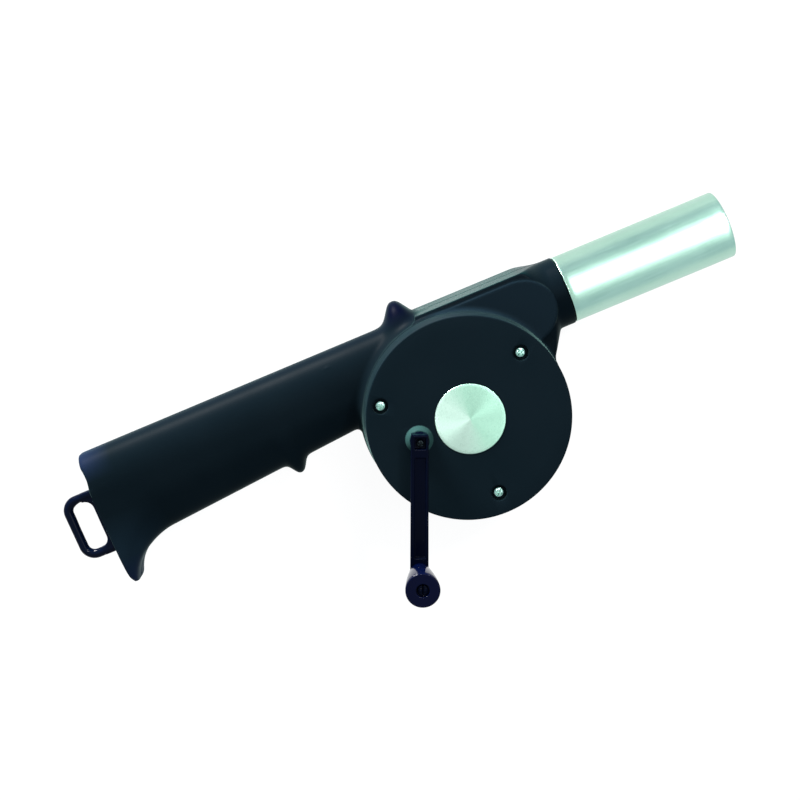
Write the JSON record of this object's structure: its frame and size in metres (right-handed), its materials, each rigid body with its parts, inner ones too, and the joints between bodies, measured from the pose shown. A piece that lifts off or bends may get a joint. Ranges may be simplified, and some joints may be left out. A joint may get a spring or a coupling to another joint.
{
  "type": "barbecue blower",
  "caption": "Hand cranked blower with a round fan housing, a moulded pistol-style grip, a hanging loop, a geared side crank with a turning knob and a plain round metal nozzle",
  "frame": {"origin": "where the fan's axis meets the flat back of the drum, on which the blower lies", "axes": "+X is the way the nozzle blows, +Z runs along the fan's axis from the intake at the back to the crank at the front, and +Y is the side that the nozzle and the straight edge of the handle are on"},
  "size_m": [0.3172, 0.1137, 0.0869],
  "materials": {
    "front_shell": "fine matt moulded black plastic",
    "rear_shell": "fine matt moulded black plastic",
    "gear_cover": "fine matt moulded black plastic",
    "label_disc": "brushed foil with a pale mint tint, unprinted",
    "cover_screw_1": "zinc plated",
    "cover_screw_2": "zinc plated",
    "cover_screw_3": "zinc plated",
    "body_screw_1": "zinc plated",
    "body_screw_2": "zinc plated",
    "body_screw_3": "zinc plated",
    "body_screw_4": "zinc plated",
    "nozzle_tube": "satin drawn tube",
    "hanging_loop": "glossy blue-black plastic",
    "rear_bush": "sintered bronze",
    "front_bush": "sintered bronze",
    "idler_axle": "ground steel pin",
    "crank_arm": "glossy blue-black plastic",
    "crank_screw": "zinc plated",
    "drive_gear": "natural nylon",
    "crank_knob": "glossy blue-black plastic",
    "idler_gear": "natural nylon",
    "fan_shaft": "ground steel pin",
    "fan_pinion": "natural nylon",
    "impeller": "moulded grey plastic"
  },
  "bodies": {
    "housing": {"front_shell": "front_shell", "rear_shell": "rear_shell", "gear_cover": "gear_cover", "label_disc": "label_disc", "cover_screw_1": "cover_screw_1", "cover_screw_2": "cover_screw_2", "cover_screw_3": "cover_screw_3", "body_screw_1": "body_screw_1", "body_screw_2": "body_screw_2", "body_screw_3": "body_screw_3", "body_screw_4": "body_screw_4", "nozzle_tube": "nozzle_tube", "hanging_loop": "hanging_loop", "rear_bush": "rear_bush", "front_bush": "front_bush", "idler_axle": "idler_axle"},
    "crank": {"crank_arm": "crank_arm", "crank_screw": "crank_screw", "drive_gear": "drive_gear"},
    "knob": {"crank_knob": "crank_knob"},
    "idler": {"idler_gear": "idler_gear"},
    "fan": {"fan_shaft": "fan_shaft", "fan_pinion": "fan_pinion", "impeller": "impeller"}
  },
  "joints": [
    {"name": "crank_turn", "type": "hinge", "parent": "housing", "child": "crank", "pos_m": [-0.0227, 0, 0.055], "axis": [0, 0, 1], "continuous": true},
    {"name": "knob_spin", "type": "hinge", "parent": "crank", "child": "knob", "pos_m": [-0.04375, -0.05081, 0.075], "axis": [0, 0, 1], "continuous": true},
    {"name": "idler_spin", "type": "hinge", "parent": "housing", "child": "idler", "pos_m": [-0.01135, -0.01495, 0.04], "axis": [0, 0, 1], "continuous": true},
    {"name": "fan_spin", "type": "hinge", "parent": "housing", "child": "fan", "pos_m": [0, 0, 0.02], "axis": [0, 0, 1], "continuous": true}
  ],
  "couplings": [
    {"joint": "idler_spin", "follows": "crank_turn", "ratio": -3.6},
    {"joint": "fan_spin", "follows": "crank_turn", "ratio": 12.96}
  ]
}
